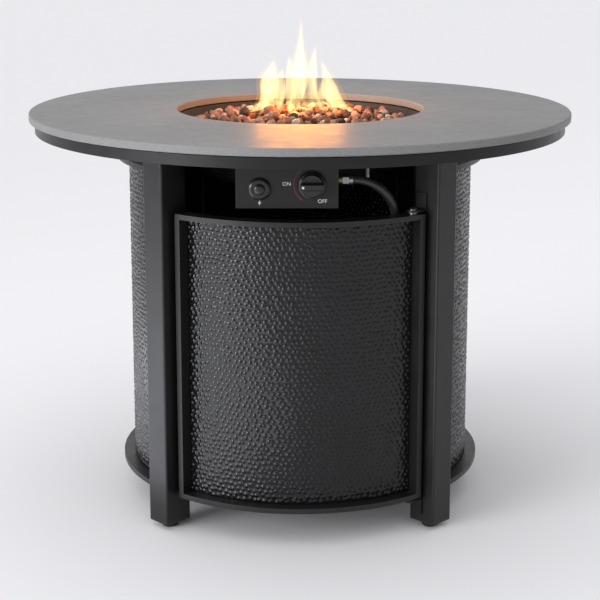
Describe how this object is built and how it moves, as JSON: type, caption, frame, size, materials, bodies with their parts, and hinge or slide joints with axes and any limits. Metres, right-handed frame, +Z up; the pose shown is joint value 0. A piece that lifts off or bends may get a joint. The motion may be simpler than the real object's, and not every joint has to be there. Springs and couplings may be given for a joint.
{
  "type": "gas fire pit table",
  "caption": "Round gas fire pit table: stone slab top with a central fire bowl of lava rocks, tube legs, curved hammered panels, a pivoted front door, a control panel and a gas hose.",
  "frame": {"origin": "middle of the footprint on the floor", "axes": "+Z up; the door and the controls face -Y; +X is to the right of someone facing the door"},
  "size_m": [0.864, 0.864, 0.63],
  "materials": {
    "slab": "matte, sandy",
    "tray_paint": "textured powder coat",
    "leg_paint": "textured powder coat",
    "hammered": "hammered, satin",
    "bowl_steel": "heat-proof paint",
    "burner_steel": "heat-tinted",
    "lava": "porous",
    "ceramic_white": "plain",
    "zinc": "zinc plated",
    "black_plastic": "moulded",
    "panel_paint": "textured powder coat",
    "valve_brass": "cast and turned",
    "battery_metal": "plain wrap",
    "hose_rubber": "smooth",
    "cast_zinc": "painted casting",
    "nut_plastic": "moulded"
  },
  "bodies": {
    "root": {"tabletop_slab": "slab", "tabletop_tray": "tray_paint", "fire_bowl": "bowl_steel", "bowl_studs": "zinc", "bowl_stud_nuts": "zinc", "burner_plate": "bowl_steel", "burner_ring": "burner_steel", "burner_stands": "burner_steel", "feed_pipe": "burner_steel", "gas_mixer": "valve_brass", "spark_electrode": "ceramic_white", "lava_rocks": "lava", "leg_front_right": "leg_paint", "leg_rear_right": "leg_paint", "leg_rear_left": "leg_paint", "leg_front_left": "leg_paint", "leg_bolts": "zinc", "leg_end_caps": "black_plastic", "left_panel_frame": "leg_paint", "left_panel_sheet": "hammered", "right_panel_frame": "leg_paint", "right_panel_sheet": "hammered", "rear_panel_frame": "leg_paint", "rear_panel_sheet": "hammered", "panel_brackets": "leg_paint", "upper_hinge_bracket": "leg_paint", "lower_hinge_bracket": "leg_paint", "hinge_pins": "zinc", "hinge_washers": "zinc", "magnet_catch": "black_plastic", "tank_tray": "tray_paint", "tank_tray_brackets": "tray_paint", "tank_collar": "tray_paint", "control_panel": "panel_paint", "gas_valve": "valve_brass", "igniter_housing": "black_plastic", "igniter_nut": "black_plastic", "igniter_battery": "battery_metal", "hose_nut": "zinc", "hose_ferrules": "zinc", "gas_hose": "hose_rubber", "regulator": "cast_zinc"},
    "door": {"door_frame": "leg_paint", "door_sheet": "hammered", "door_strike": "zinc"},
    "plunger": {"valve_plunger": "zinc"},
    "knob": {"valve_stem": "zinc", "control_knob": "black_plastic"},
    "igniter_push": {"igniter_button": "black_plastic"},
    "coupling": {"coupling_nut": "nut_plastic"},
    "foot_front_right_screw": {"foot_front_right": "black_plastic"},
    "foot_rear_right_screw": {"foot_rear_right": "black_plastic"},
    "foot_rear_left_screw": {"foot_rear_left": "black_plastic"},
    "foot_front_left_screw": {"foot_front_left": "black_plastic"}
  },
  "joints": [
    {"name": "door_swing", "type": "hinge", "parent": "root", "child": "door", "pos_m": [0.16795, -0.22653, 0.277], "axis": [0, 0, 1], "range_deg": [0, 100]},
    {"name": "knob_push", "type": "slide", "parent": "root", "child": "plunger", "axis": [0, 1, 0], "range_m": [0, 0.004], "stiffness_N_per_m": 1500},
    {"name": "knob_turn", "type": "hinge", "parent": "plunger", "child": "knob", "pos_m": [0.0175, -0.27, 0.55], "axis": [0, -1, 0], "range_deg": [-90, 120]},
    {"name": "igniter_press", "type": "slide", "parent": "root", "child": "igniter_push", "axis": [0, 1, 0], "range_m": [0, 0.005], "stiffness_N_per_m": 800},
    {"name": "coupling_turn", "type": "hinge", "parent": "root", "child": "coupling", "pos_m": [-0.12271, -0.17097, 0.0783], "axis": [-0.9026, 0.4305, 0], "continuous": true},
    {"name": "foot_front_right_turn", "type": "hinge", "parent": "root", "child": "foot_front_right_screw", "pos_m": [0.20294, -0.20294, 0.02], "axis": [0, 0, 1], "continuous": true},
    {"name": "foot_rear_right_turn", "type": "hinge", "parent": "root", "child": "foot_rear_right_screw", "pos_m": [0.20294, 0.20294, 0.02], "axis": [0, 0, 1], "continuous": true},
    {"name": "foot_rear_left_turn", "type": "hinge", "parent": "root", "child": "foot_rear_left_screw", "pos_m": [-0.20294, 0.20294, 0.02], "axis": [0, 0, 1], "continuous": true},
    {"name": "foot_front_left_turn", "type": "hinge", "parent": "root", "child": "foot_front_left_screw", "pos_m": [-0.20294, -0.20294, 0.02], "axis": [0, 0, 1], "continuous": true}
  ]
}
